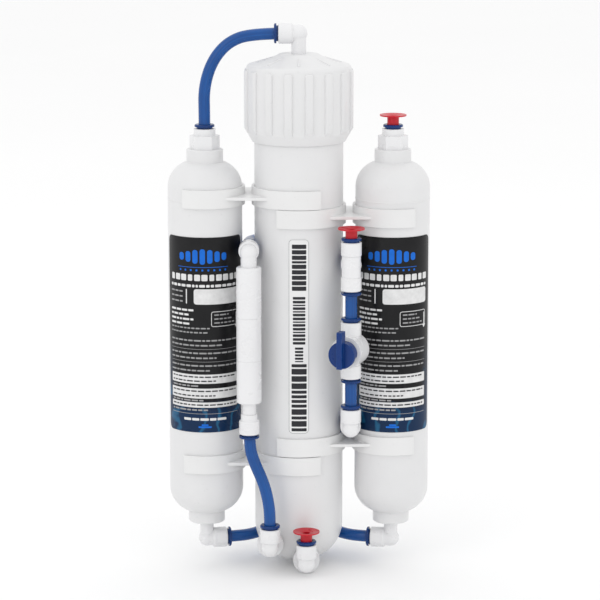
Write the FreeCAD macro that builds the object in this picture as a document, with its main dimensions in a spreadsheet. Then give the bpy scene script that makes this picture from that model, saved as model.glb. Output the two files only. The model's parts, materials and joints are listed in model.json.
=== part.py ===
import FreeCAD, Part
import math
import os
import Sketcher

# Reverse osmosis unit for an aquarium: a membrane housing with a screw cap between a carbon filter
# (left) and a fine filter (right), joined by 8 mm tube and push-in fittings.
# Origin: on the housing's axis, at the middle of the band that a wall clip grips.
# +Z runs up the housing, the front faces -Y, and lengths are millimetres.

SIZES = {
    # membrane housing
    "barrel_radius": 29.8, "barrel_wall": 4.4, "barrel_base": -178.0, "barrel_foot_radius": 13.0,
    "barrel_round_start": -154.0, "barrel_round": 26.0, "chamber_floor": -150.0,
    "thread_step": 2.3, "thread_neck_start": 112.5, "barrel_rim": 148.0,
    "core_socket_radius": 8.7, "core_socket_floor": -166.0, "side_port_channel": 2.0,
    "side_port_boss": 7.6, "side_port_boss_depth": 14.0, "boss_thread_depth": 9.0,
    "flush_thread_depth": 6.0, "permeate_inlet": 2.2, "leg_end_gap": 0.5, "side_port_stand": 10.4,
    "flush_port_stand": 13.4,
    # screw cap
    "cap_thickness": 5.4, "cap_rib_height": 1.7, "cap_rib_width": 5.4, "cap_rib_count": 16,
    "cap_lip": 108.7, "cap_lip_margin": 1.3, "cap_rib_foot": 115.6, "cap_rib_top": 156.0,
    "cap_shoulder": 159.6, "cap_shoulder_step": 1.2, "cap_hub_radius": 13.0, "cap_hub_top": 167.0,
    "cap_bore_gap": 0.35, "cap_ledge_gap": 0.4, "cap_seal_section": 1.7,
    "cap_stem_radius": 4.95, "cap_stem_grip": 7.0,
    # inline filters
    "filter_gap": 8.2, "filter_radius": 25.0, "filter_wall": 2.2, "filter_dome": 18.0,
    "filter_low": -128.5, "filter_high": 77.5, "filter_seam": 70.0, "filter_neck_radius": 12.3,
    "filter_neck_top": 103.3, "filter_neck_base": -153.5, "filter_thread": 4.8, "lid_skirt": 6.0,
    "pad_depth": 5.0, "core_gap": 3.3, "core_bore": 7.0,
    # labels
    "label_high": 47.0, "label_low": -86.0, "label_half_angle": 70.0, "label_depth": 0.25,
    "barrel_label_half_angle": 13.7, "skin_gap": 0.03,
    # clips
    "clip_depth": 12.4, "clip_band": 1.8, "clip_web": 2.0, "clip_web_inset": 1.2, "clip_gap": 0.08,
    "clip_filter_mouth": 57.0, "clip_barrel_mouth": 62.0,
    "upper_left_clip": 72.5, "upper_right_clip": 59.8, "lower_left_clip": -108.5,
    "lower_right_clip": -95.6,
    # membrane element
    "membrane_gap": 3.1, "membrane_low": -140.0, "membrane_high": 124.0, "core_tube_radius": 8.5,
    "core_tube_bore": 6.3, "core_tube_low": -164.0, "core_tube_high": 134.0, "end_cap_depth": 6.0,
    "brine_seal_depth": 9.0, "core_ring_section": 1.3,
    # tube and push-in ports
    "tube_radius": 3.97, "tube_bore": 2.7, "port_reach": 13.6, "long_reach": 16.4, "valve_reach": 19.1,
    "collar_wall": 1.4, "collar_length": 8.8, "neck_step": 0.15, "seat_depth": 11.0,
    "seat_gap": 0.05, "pocket_clearance": 1.48, "pocket_depth": 8.5, "water_bore": 2.6,
    "branch_step": 0.2, "ring_thickness": 1.5, "ring_gap": 0.03, "collet_gap": 0.1,
    "sleeve_gap": 0.15, "collet_insertion": 5.4, "collet_travel_gap": 1.3,
    "flange_overhang": 1.25, "collet_flange": 1.6, "leg_radius": 4.6,
    "shoulder_radius": 8.9, "shoulder_near": 9.0, "shoulder_far": 13.0, "leg_gap": 0.06,
    "hex_radius": 10.1, "hex_length": 9.1, "connector_collar": 7.3, "connector_reach": 13.5,
    "connector_thread": 8.0, "tube_end_gap": 0.23,
    # places of the fittings
    "cap_elbow_rise": 180.4, "bottom_elbow_drop": -166.0, "bottom_elbow_yaw": 10.0,
    "waste_across": -19.3, "waste_drop": -162.4, "permeate_across": 5.1, "permeate_drop": -173.4,
    "flush_port_across": 12.0, "flush_port_drop": -145.0,
    "restrictor_across": -33.2, "stack_across": 34.8, "front_stand": 3.2,
    "restrictor_elbow_rise": 38.3, "restrictor_foot": -71.3, "tee_rise": 29.1, "valve_rise": -27.5,
    "flush_elbow_drop": -81.5,
    # flow restrictor
    "restrictor_radius": 8.35, "restrictor_bore": 6.6, "restrictor_top": 28.8,
    "restrictor_base": -63.5, "restrictor_groove_high": -5.4, "restrictor_groove_low": -34.3,
    "restrictor_groove": 0.35, "restrictor_end": 4.0, "restrictor_neck": 5.25,
    # flush valve
    "valve_step": 0.75, "valve_boss_radius": 10.8, "valve_boss_back": 6.0, "valve_boss_front": 11.0,
    "valve_yaw": 20.0, "ball_radius": 5.0, "ball_gap": 0.05, "spindle_radius": 2.2,
    "handle_radius": 9.0, "skirt_near": 11.4, "skirt_radius": 8.3, "disc_near": 17.0,
    "disc_far": 20.0, "lever_far": 24.5, "lever_width": 3.6, "lever_rise": 16.2,
    # closing plugs
    "plug_gap": 0.02, "plug_hollow": 2.5, "plug_disc_radius": 8.9, "plug_flare": 7.3,
    "plug_rim_low": 8.5, "plug_rim_high": 9.4, "plug_hollow_depth": 4.0,
}

# Sizes that follow from the ones above.
DERIVED = {
    "barrel_bore": "barrel_radius - barrel_wall",
    "thread_neck_radius": "barrel_radius - thread_step",
    "membrane_radius": "barrel_bore - membrane_gap",
    "side_port_front": "0 - barrel_radius - side_port_stand",
    "flush_port_back": "barrel_radius + flush_port_stand",
    "permeate_channel_depth": "0 - side_port_front - shoulder_far - permeate_inlet",
    "cap_lip_radius": "barrel_radius + cap_lip_margin",
    "cap_radius": "barrel_radius + cap_thickness",
    "cap_rib_radius": "cap_radius + cap_rib_height",
    "cap_shoulder_radius": "cap_radius - cap_shoulder_step",
    "filter_spacing": "barrel_radius + filter_radius + filter_gap",
    "core_radius": "filter_radius - filter_wall - core_gap",
    "clip_web_reach": "filter_radius - clip_web_inset",
    "pocket_radius": "tube_radius + pocket_clearance",
    "collet_sleeve": "pocket_radius - sleeve_gap",
    "collet_flange_radius": "pocket_radius + flange_overhang",
    "collar_radius": "pocket_radius + collar_wall",
    "neck_radius": "pocket_radius + neck_step",
    "elbow_corner": "neck_radius + neck_step",
    "valve_barrel": "neck_radius + valve_step",
    "front_line": "0 - barrel_radius - front_stand",
    "plug_stem_radius": "tube_radius - plug_gap",
    "back_reach": "seat_depth + tube_radius + tube_end_gap",
}


class Size:
    """A length that holds its number and the sheet formula that gives it."""

    def __init__(self, number, formula):
        self.number = number
        self.formula = formula

    def __add__(self, other):
        other = as_size(other)
        return Size(self.number + other.number, f"({self.formula} + {other.formula})")

    def __sub__(self, other):
        other = as_size(other)
        return Size(self.number - other.number, f"({self.formula} - {other.formula})")

    def __mul__(self, other):
        other = as_size(other)
        return Size(self.number * other.number, f"({self.formula} * {other.formula})")

    def __truediv__(self, other):
        other = as_size(other)
        return Size(self.number / other.number, f"({self.formula} / {other.formula})")

    def __neg__(self):
        return Size(-self.number, f"(0 - {self.formula})")

    __radd__ = __add__
    __rmul__ = __mul__


def as_size(value):
    return value if isinstance(value, Size) else Size(float(value), f"({float(value)})")


def drop_at(radius, offset):
    """How high a circle of this radius stands at this distance from its centre line."""
    number = math.sqrt(radius.number ** 2 - offset.number ** 2)
    return Size(number, f"sqrt(pow({radius.formula}; 2) - pow({offset.formula}; 2))")


def sine(angle):
    return Size(math.sin(math.radians(angle.number)), f"sin({angle.formula} * 1 deg)")


def cosine(angle):
    return Size(math.cos(math.radians(angle.number)), f"cos({angle.formula} * 1 deg)")


DOC = FreeCAD.newDocument("ReverseOsmosisUnit")
SHEET = DOC.addObject("Spreadsheet::Sheet", "Sizes")
FORMULAS = {alias: f"={formula}" for alias, formula in DERIVED.items()}
for row, (alias, content) in enumerate({**SIZES, **FORMULAS}.items(), start=1):
    SHEET.set(f"A{row}", alias)
    SHEET.set(f"B{row}", str(content))
    SHEET.setAlias(f"B{row}", alias)
DOC.recompute()

NODES = []
UP = FreeCAD.Vector(0, 0, 1)
DIRECTIONS = {
    "+X": FreeCAD.Vector(1, 0, 0), "-X": FreeCAD.Vector(-1, 0, 0),
    "+Y": FreeCAD.Vector(0, 1, 0), "-Y": FreeCAD.Vector(0, -1, 0),
    "+Z": FreeCAD.Vector(0, 0, 1), "-Z": FreeCAD.Vector(0, 0, -1),
}
ZERO = as_size(0)


def cell(alias):
    return Size(float(SHEET.get(alias)), f"Sizes.{alias}")


def node(piece, label):
    """Keep a finished sub-part under the name that its file will have."""
    piece.Label = label
    NODES.append(piece)
    return piece


def place(piece, x=ZERO, y=ZERO, z=ZERO, turn=None):
    """Move a piece to a place that stays bound to the sheet."""
    sizes = [as_size(value) for value in (x, y, z)]
    base = FreeCAD.Vector(*[size.number for size in sizes])
    piece.Placement = FreeCAD.Placement(base, turn or FreeCAD.Rotation())
    for axis, size in zip("xyz", sizes):
        piece.setExpression(f".Placement.Base.{axis}", size.formula)
    return piece


def facing(direction, yaw=0.0):
    """The turn that points a piece's own Z axis along a direction, then yaws it about the upright."""
    return FreeCAD.Rotation(UP, yaw) * FreeCAD.Rotation(UP, DIRECTIONS[direction])


# ---- sketches ---------------------------------------------------------------------------------

def arc_between(start, end, radius, sense):
    """The minor arc from start to end; sense is 1 anticlockwise and -1 clockwise."""
    chord = end - start
    middle = (start + end) * 0.5
    normal = FreeCAD.Vector(-chord.y, chord.x, 0).normalize()
    height = math.sqrt(max(radius ** 2 - (chord.Length / 2) ** 2, 0))
    centre = middle + normal * (height * sense)
    first, last = (start, end) if sense > 0 else (end, start)
    angles = [math.atan2(point.y - centre.y, point.x - centre.x) for point in (first, last)]
    if angles[1] < angles[0]:
        angles[1] += 2 * math.pi
    return Part.ArcOfCircle(Part.Circle(centre, UP, radius), *angles)


def sketch_on(body, role, outlines, shift=None):
    """A closed sketch for each outline. A corner is (x, y), or (x, y, radius, sense) where an arc
    ends in it. Every corner is dimensioned from the origin by the sheet."""
    sketch = body.newObject("Sketcher::SketchObject", f"{body.Name}_sketch")
    plane = [item for item in body.Origin.OriginFeatures if item.Role == role][0]
    sketch.AttachmentSupport = [(plane, "")]
    sketch.MapMode = "FlatFace"
    if shift is not None:
        sketch.setExpression(".AttachmentOffset.Base.z", shift.formula)
    for outline in outlines:
        draw_outline(sketch, outline)
    return sketch


def draw_outline(sketch, outline):
    corners = [tuple(as_size(value) for value in corner[:3]) + tuple(corner[3:]) for corner in outline]
    points = [FreeCAD.Vector(corner[0].number, corner[1].number, 0) for corner in corners]
    first = sketch.GeometryCount
    count = len(corners)
    entries = []
    for index in range(count):
        reached = corners[(index + 1) % count]
        start, end = points[index], points[(index + 1) % count]
        if len(reached) == 4:
            sketch.addGeometry(arc_between(start, end, reached[2].number, reached[3]), False)
            entries.append((1, 2) if reached[3] > 0 else (2, 1))
        else:
            sketch.addGeometry(Part.LineSegment(start, end), False)
            entries.append((1, 2))
    for index in range(count):
        following = (index + 1) % count
        sketch.addConstraint(Sketcher.Constraint(
            "Coincident", first + index, entries[index][1], first + following, entries[following][0]))
    for index, corner in enumerate(corners):
        for kind, size, axis in (("DistanceX", corner[0], -2), ("DistanceY", corner[1], -1)):
            dimension(sketch, kind, first + index, entries[index][0], size, axis)
        reached = corners[(index + 1) % count]
        if len(reached) == 4:
            number = sketch.addConstraint(
                Sketcher.Constraint("Radius", first + index, reached[2].number))
            sketch.setExpression(f"Constraints[{number}]", reached[2].formula)


def dimension(sketch, kind, edge, end, size, axis):
    """Bind one coordinate of a corner, or hold it on the axis where it is always zero."""
    if size.formula == ZERO.formula:
        sketch.addConstraint(Sketcher.Constraint("PointOnObject", edge, end, axis))
        return
    number = sketch.addConstraint(Sketcher.Constraint(kind, -1, 1, edge, end, size.number))
    sketch.setExpression(f"Constraints[{number}]", size.formula)


def lathe(name, *outlines):
    """A turned body: outlines of (radius, height) corners spun about the Z axis."""
    body = DOC.addObject("PartDesign::Body", name)
    sketch = sketch_on(body, "XZ_Plane", outlines)
    turned = body.newObject("PartDesign::Revolution", f"{name}_turned")
    turned.Profile = sketch
    turned.ReferenceAxis = (sketch, ["V_Axis"])
    turned.Angle = 360
    return body


def pad(body, outlines, length, shift=None, symmetric=False):
    """A prism on the XY plane, added to the body."""
    sketch = sketch_on(body, "XY_Plane", outlines, shift)
    prism = body.newObject("PartDesign::Pad", f"{body.Name}_pad")
    prism.Profile = sketch
    prism.setExpression("Length", as_size(length).formula)
    if symmetric:
        prism.SideType = "Symmetric"
    return prism


def ring(inner, outer, low, high):
    return [(inner, low), (outer, low), (outer, high), (inner, high)]


# ---- primitives -------------------------------------------------------------------------------

def along(piece, start, direction):
    """Turn a primitive along a direction and start it that far from its fitting's centre."""
    vector = DIRECTIONS[direction]
    return place(piece, *[as_size(start) * part for part in vector],
                 turn=FreeCAD.Rotation(UP, vector))


def cylinder(radius, start, length, direction="+Z"):
    piece = DOC.addObject("Part::Cylinder", "Cylinder")
    piece.setExpression("Radius", as_size(radius).formula)
    piece.setExpression("Height", as_size(length).formula)
    return along(piece, start, direction)


def ball(radius):
    piece = DOC.addObject("Part::Sphere", "Ball")
    piece.setExpression("Radius", as_size(radius).formula)
    return piece


def fuse(*pieces):
    joined = DOC.addObject("Part::MultiFuse", "Joined")
    joined.Shapes = list(pieces)
    joined.Refine = False
    return joined


def cut(base, *tools):
    """The base with each tool taken away in turn."""
    for tool in tools:
        result = DOC.addObject("Part::Cut", "Cut")
        result.Base = base
        result.Tool = tool
        base = result
    return base


def group(name, pieces):
    """Several identical or matching solids that share one node."""
    bundle = DOC.addObject("Part::Compound", name)
    bundle.Links = list(pieces)
    return node(bundle, name)


# ---- push-in fittings -------------------------------------------------------------------------

REACH = cell("port_reach")


def port_arm(direction, reach=REACH):
    """The outside of one push-in port: a neck from the centre, a short cone and the wide collar."""
    neck, collar = cell("neck_radius"), cell("collar_radius")
    start = reach - cell("collar_length")
    outline = [(ZERO, ZERO), (neck, ZERO), (neck, start - 1.2), (collar, start),
               (collar, reach - 0.5), (collar - 0.5, reach), (ZERO, reach)]
    arm = lathe("PortArm", outline)
    arm.Placement = FreeCAD.Placement(FreeCAD.Vector(), facing(direction))
    return arm


def port_bore(direction, reach=REACH, branch=False):
    """The inside of one push-in port: the collet's pocket, the tube's seat and the waterway, which
    is a little narrower in a branch."""
    water, pocket = cell("water_bore"), cell("pocket_radius")
    if branch:
        water = water - cell("branch_step")
    seat = cell("tube_radius") + cell("seat_gap")
    seat_start, pocket_start = reach - cell("seat_depth"), reach - cell("pocket_depth")
    outline = [(ZERO, as_size(-1.5)), (water, as_size(-1.5)), (water, seat_start), (seat, seat_start),
               (seat, pocket_start), (pocket, pocket_start), (pocket, reach + 1), (ZERO, reach + 1)]
    bore = lathe("PortBore", outline)
    bore.Placement = FreeCAD.Placement(FreeCAD.Vector(), facing(direction))
    return bore


def leg_bore(length, direction):
    return cylinder(cell("water_bore") - cell("branch_step"), 0, length, direction)


def elbow(name, centre, port, leg, leg_length, leg_radius=None, shoulder=False, yaw=0.0):
    """A one-port elbow: a push-in port, a round corner and a leg that screws into another piece."""
    radius = leg_radius or cell("leg_radius")
    solids = [port_arm(port), ball(cell("elbow_corner")), cylinder(radius, 0, leg_length, leg)]
    if shoulder:
        depth = cell("shoulder_far") - cell("shoulder_near")
        solids.append(cylinder(cell("neck_radius") - 0.1, 0, cell("shoulder_far"), leg))
        solids.append(cylinder(cell("shoulder_radius"), cell("shoulder_near"), depth, leg))
    bored = cut(fuse(*solids), port_bore(port), leg_bore(leg_length, leg))
    body = place(bored, *centre, turn=FreeCAD.Rotation(UP, yaw))
    return node(body, name)


def straight_connector(name, centre):
    """A straight push-in connector whose hexagon sits on the filter's neck."""
    hexagon = DOC.addObject("Part::Prism", "Hexagon")
    hexagon.Polygon = 6
    hexagon.setExpression("Circumradius", cell("hex_radius").formula)
    hexagon.setExpression("Height", cell("hex_length").formula)
    reach, thread = cell("connector_reach"), cell("connector_thread")
    solids = [
        hexagon,
        cylinder(cell("connector_collar"), cell("hex_length"), reach - cell("hex_length")),
        cylinder(cell("filter_thread") - cell("leg_gap"), -thread, thread),
    ]
    bored = cut(fuse(*solids), port_bore("+Z", reach), leg_bore(thread, "-Z"))
    return node(place(bored, *centre), name)


def collet(name, centre, direction, reach=REACH, yaw=0.0, keep=True):
    """The release collet of one port: a sleeve round the tube and the flange a finger presses."""
    inner = cell("tube_radius") + cell("collet_gap")
    flange_near = reach + cell("collet_travel_gap")
    flange_far = flange_near + cell("collet_flange")
    sleeve, flange = cell("collet_sleeve"), cell("collet_flange_radius")
    inside = reach - cell("collet_insertion")
    outline = [
        (inner, inside), (sleeve, inside), (sleeve, flange_near), (flange, flange_near),
        (flange, flange_far - 0.5), (flange - 0.6, flange_far), (inner + 0.4, flange_far),
        (inner, flange_far - 0.4),
    ]
    piece = place(lathe(name, outline), *centre, turn=facing(direction, yaw))
    return node(piece, name) if keep else piece


def tube_ring(centre, direction, reach, yaw):
    """The rubber ring that seals the tube behind the collet."""
    inner = cell("tube_radius") + cell("ring_gap")
    outer = cell("pocket_radius") - cell("ring_gap")
    low = reach - cell("pocket_depth") + cell("ring_gap")
    middle = low + cell("ring_thickness") / 2
    high = low + cell("ring_thickness")
    outline = [(inner, middle), (inner + 0.45, low), (outer - 0.45, low), (outer, middle),
               (outer - 0.45, high), (inner + 0.45, high)]
    return place(lathe("TubeRing", outline), *centre, turn=facing(direction, yaw))


def closing_plug(name, centre, reach):
    """A red plug: a hollow stem in the port and a thin dished disc to pull it by."""
    stem, disc, hollow = cell("plug_stem_radius"), cell("plug_disc_radius"), cell("plug_hollow")
    flare, tip = reach + cell("plug_flare"), reach - cell("seat_depth") + 0.3
    hollow_end = reach - cell("plug_hollow_depth")
    outline = [
        (ZERO, tip), (stem - 0.6, tip), (stem, tip + 0.9), (stem, flare), (stem + 1.6, flare + 0.9),
        (disc, reach + cell("plug_rim_low")), (disc, reach + cell("plug_rim_high")),
        (stem + 0.6, flare + 1.4), (hollow, flare + 0.8), (hollow, hollow_end), (ZERO, hollow_end),
    ]
    return node(place(lathe(name, outline), *centre), name)


# Where each fitting's centre is. A side is -1 for the carbon filter and 1 for the fine filter.

def filter_side(side):
    return cell("filter_spacing") * side


FRONT = cell("front_line")
CENTRES = {
    "cap_elbow": (ZERO, ZERO, cell("cap_elbow_rise")),
    "carbon_top": (filter_side(-1), ZERO, cell("filter_neck_top")),
    "feed": (filter_side(1), ZERO, cell("filter_neck_top")),
    "carbon_bottom": (filter_side(-1), ZERO, cell("bottom_elbow_drop")),
    "fine_bottom": (filter_side(1), ZERO, cell("bottom_elbow_drop")),
    "waste_elbow": (cell("waste_across"), cell("side_port_front"), cell("waste_drop")),
    "permeate": (cell("permeate_across"), cell("side_port_front"), cell("permeate_drop")),
    "flush_port": (cell("flush_port_across"), cell("flush_port_back"), cell("flush_port_drop")),
    "restrictor_top": (cell("restrictor_across"), FRONT, cell("restrictor_elbow_rise")),
    "restrictor_foot": (cell("restrictor_across"), FRONT, cell("restrictor_foot")),
    "tee": (cell("stack_across"), FRONT, cell("tee_rise")),
    "valve": (cell("stack_across"), FRONT, cell("valve_rise")),
    "flush_elbow": (cell("stack_across"), FRONT, cell("flush_elbow_drop")),
}
LONG = cell("long_reach")
VALVE = cell("valve_reach")
CONNECTOR = cell("connector_reach")
BACK = cell("back_reach")
YAW = SIZES["bottom_elbow_yaw"]

# Every push-in port: its collet's name, its fitting, its direction, its reach and its yaw.
USER_PORTS = [
    ("cap_elbow_collet", "cap_elbow", "-X", REACH, 0),
    ("carbon_top_collet", "carbon_top", "+Z", CONNECTOR, 0),
    ("feed_collet", "feed", "+Z", CONNECTOR, 0),
    ("carbon_bottom_collet", "carbon_bottom", "+X", REACH, YAW),
    ("fine_bottom_collet", "fine_bottom", "-X", REACH, -YAW),
    ("waste_elbow_collet", "waste_elbow", "+Z", REACH, 0),
    ("permeate_collet", "permeate", "+Z", REACH, 0),
    ("restrictor_collet", "restrictor_foot", "-Z", REACH, 0),
    ("waste_outlet_collet", "tee", "+Z", LONG, 0),
]
INNER_PORTS = [
    ("restrictor_top", "+Y", REACH), ("tee", "+Y", REACH), ("tee", "-Z", LONG),
    ("valve", "+Z", VALVE), ("valve", "-Z", VALVE), ("flush_elbow", "+Z", REACH),
    ("flush_elbow", "+Y", BACK), ("flush_port", "+Z", REACH),
]


def push_in_fittings():
    stem_length = cell("cap_elbow_rise") - cell("cap_hub_top") + cell("cap_stem_grip")
    elbow("cap_elbow", CENTRES["cap_elbow"], "-X", "-Z", stem_length, cell("cap_stem_radius"))
    straight_connector("carbon_top_connector", CENTRES["carbon_top"])
    straight_connector("feed_connector", CENTRES["feed"])
    rise = cell("filter_neck_base") - cell("bottom_elbow_drop") + cell("connector_thread")
    elbow("carbon_bottom_elbow", CENTRES["carbon_bottom"], "+X", "+Z", rise, yaw=YAW)
    elbow("fine_bottom_elbow", CENTRES["fine_bottom"], "-X", "+Z", rise, yaw=-YAW)
    front_leg = cell("shoulder_far") + cell("boss_thread_depth") - cell("leg_end_gap")
    back_leg = cell("shoulder_far") + cell("flush_thread_depth") - cell("leg_end_gap")
    elbow("waste_elbow", CENTRES["waste_elbow"], "+Z", "+Y", front_leg, shoulder=True)
    elbow("permeate_elbow", CENTRES["permeate"], "+Z", "+Y", front_leg, shoulder=True)
    elbow("flush_port_elbow", CENTRES["flush_port"], "+Z", "-Y", back_leg, shoulder=True)
    neck_length = cell("restrictor_elbow_rise") - cell("restrictor_top") + cell("restrictor_end") - 0.1
    elbow("restrictor_top_elbow", CENTRES["restrictor_top"], "+Y", "-Z", neck_length,
          cell("restrictor_neck"))
    restrictor_foot_connector()
    waste_tee()
    flush_elbow()


def restrictor_foot_connector():
    """The push-in connector under the flow restrictor, with its stem in the sleeve's end."""
    rise = cell("restrictor_base") - cell("restrictor_foot") + cell("restrictor_end") - 0.1
    body = fuse(port_arm("-Z"), cylinder(cell("leg_radius"), 0, rise))
    bored = cut(body, port_bore("-Z"), leg_bore(rise, "+Z"))
    node(place(bored, *CENTRES["restrictor_foot"]), "restrictor_foot_connector")


def waste_tee():
    """The tee over the flush valve: waste outlet on top, restrictor at the back, valve below."""
    solids = [port_arm("+Z", LONG), port_arm("-Z", LONG), port_arm("+Y"),
              cylinder(cell("neck_radius") + 0.75, -7, 14)]
    bored = cut(fuse(*solids), port_bore("+Z", LONG), port_bore("-Z", LONG),
                port_bore("+Y", branch=True))
    node(place(bored, *CENTRES["tee"]), "waste_tee")


def flush_elbow():
    """The elbow under the flush valve, with one port up and one to the back."""
    solids = fuse(port_arm("+Z"), port_arm("+Y", BACK), ball(cell("elbow_corner")))
    bored = cut(solids, port_bore("+Z"), port_bore("+Y", BACK, branch=True))
    node(place(bored, *CENTRES["flush_elbow"]), "flush_elbow")


def collets_and_rings():
    for name, fitting, direction, reach, yaw in USER_PORTS:
        collet(name, CENTRES[fitting], direction, reach, yaw)
    inner = [collet(f"inner_collet_{number}", CENTRES[fitting], direction, reach, keep=False)
             for number, (fitting, direction, reach) in enumerate(INNER_PORTS)]
    group("inner_collets", inner)
    rings = [tube_ring(CENTRES[fitting], direction, reach, yaw)
             for _, fitting, direction, reach, yaw in USER_PORTS if fitting != "cap_elbow"]
    rings += [tube_ring(CENTRES[fitting], direction, reach, 0)
              for fitting, direction, reach in INNER_PORTS]
    group("tube_seal_rings", rings)


def closing_plugs():
    closing_plug("feed_plug", CENTRES["feed"], CONNECTOR)
    closing_plug("permeate_plug", CENTRES["permeate"], REACH)
    closing_plug("waste_plug", CENTRES["tee"], LONG)


# ---- membrane housing -------------------------------------------------------------------------

def side_boss(place_of, inward):
    """A boss on the barrel for a side elbow, from near the axis out to the elbow's shoulder."""
    across, depth, height = place_of
    boss = cylinder(cell("side_port_boss"), 0, cell("side_port_boss_depth"), inward)
    shift = cell("shoulder_far")
    start = depth + shift if inward == "+Y" else depth - shift
    return place(boss, across, start, height, turn=FreeCAD.Rotation(UP, DIRECTIONS[inward]))


def side_bore(place_of, inward, radius, length):
    """A bore that follows a side elbow's leg from its shoulder inwards."""
    across, depth, height = place_of
    shift = cell("shoulder_far")
    start = depth + shift if inward == "+Y" else depth - shift
    return place(cylinder(radius, 0, length, inward), across, start, height,
                 turn=FreeCAD.Rotation(UP, DIRECTIONS[inward]))


def upright_bore(across, depth, low, high):
    return place(cylinder(cell("side_port_channel"), 0, high - low), across, depth, low)


def membrane_housing():
    """The barrel with its threaded neck, its rounded base, its side bosses and their waterways."""
    outside = lathe(
        "Barrel",
        [(ZERO, cell("barrel_base")), (cell("barrel_foot_radius"), cell("barrel_base")),
         (cell("barrel_radius"), cell("barrel_round_start"), cell("barrel_round"), 1),
         (cell("barrel_radius"), cell("thread_neck_start") - 2.3),
         (cell("thread_neck_radius"), cell("thread_neck_start")),
         (cell("thread_neck_radius"), cell("barrel_rim")), (ZERO, cell("barrel_rim"))])
    inside = lathe(
        "BarrelBore",
        [(ZERO, cell("core_socket_floor")), (cell("core_socket_radius"), cell("core_socket_floor")),
         (cell("core_socket_radius"), cell("chamber_floor")), (cell("barrel_bore"), cell("chamber_floor")),
         (cell("barrel_bore"), cell("barrel_rim") + 2), (ZERO, cell("barrel_rim") + 2)])
    waste, permeate, flush = CENTRES["waste_elbow"], CENTRES["permeate"], CENTRES["flush_port"]
    thread = cell("leg_radius") + cell("leg_gap")
    channel = cell("side_port_channel")
    depth = cell("boss_thread_depth")
    solids = fuse(outside, side_boss(waste, "+Y"), side_boss(permeate, "+Y"), side_boss(flush, "-Y"))
    waste_depth, permeate_depth = cell("side_port_boss_depth"), cell("permeate_channel_depth")
    shoulder = cell("side_port_front") + cell("shoulder_far")
    bores = [
        inside,
        side_bore(waste, "+Y", thread, depth), side_bore(waste, "+Y", channel, waste_depth),
        upright_bore(cell("waste_across"), shoulder + waste_depth, cell("waste_drop"),
                     cell("chamber_floor") + 1),
        side_bore(permeate, "+Y", thread, depth), side_bore(permeate, "+Y", channel, permeate_depth),
        upright_bore(cell("permeate_across"), shoulder + permeate_depth, cell("permeate_drop"),
                     cell("core_socket_floor") + 1),
        side_bore(flush, "-Y", thread, cell("flush_thread_depth")),
        side_bore(flush, "-Y", channel, waste_depth),
    ]
    node(cut(solids, *bores), "membrane_housing")


def housing_cap():
    """The screw cap: a turned shell with upright ribs round it and a hub for the elbow."""
    rim = cell("barrel_rim")
    ledge = rim + cell("cap_seal_section") + cell("cap_ledge_gap")
    bore = cell("barrel_radius") + cell("cap_bore_gap")
    stem = cell("cap_stem_radius") + cell("leg_gap")
    hub, hub_top = cell("cap_hub_radius"), cell("cap_hub_top")
    body = lathe(
        "Cap",
        [(cell("cap_lip_radius"), cell("cap_lip")), (cell("cap_radius"), cell("cap_rib_foot")),
         (cell("cap_radius"), cell("cap_rib_top") + 2),
         (cell("cap_shoulder_radius"), cell("cap_shoulder")), (hub + 4, hub_top - 2.2),
         (hub, hub_top - 0.6), (hub - 0.7, hub_top), (stem, hub_top), (stem, ledge + 4),
         (cell("barrel_bore") - 6, ledge + 2), (cell("barrel_bore") - 1, ledge),
         (bore, ledge), (bore, cell("cap_lip"))])
    half = cell("cap_rib_width") / 2
    outer = cell("cap_rib_radius")
    rib = [(-half, cell("cap_radius") - 0.8), (half, cell("cap_radius") - 0.8),
           (half - 0.7, drop_at(outer, half)), (-half + 0.7, drop_at(outer, half), outer, 1)]
    pad(body, [rib], cell("cap_rib_top") - cell("cap_rib_foot"), shift=cell("cap_rib_foot"))
    DOC.recompute()
    pattern = body.newObject("PartDesign::PolarPattern", "CapRibs")
    pattern.Originals = [body.Tip]
    pattern.Axis = (axis_of(body, "Z_Axis"), [""])
    pattern.Angle = 360
    pattern.setExpression("Occurrences", cell("cap_rib_count").formula)
    body.Tip = pattern
    half_pitch = 360 / SIZES["cap_rib_count"] / 2
    node(place(body, turn=FreeCAD.Rotation(UP, half_pitch)), "housing_cap")


def axis_of(body, role):
    return [item for item in body.Origin.OriginFeatures if item.Role == role][0]


def cap_seals():
    """The square ring between the barrel's rim and the cap's ledge, and the cap elbow's tube ring."""
    low = cell("barrel_rim") + 0.1
    high = low + cell("cap_seal_section")
    inner, outer = cell("barrel_bore") + 0.2, cell("thread_neck_radius") - 0.2
    rim_ring = lathe("RimRing", ring(inner, outer, low, high))
    group("cap_seals", [rim_ring, tube_ring(CENTRES["cap_elbow"], "-X", REACH, 0)])


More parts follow.
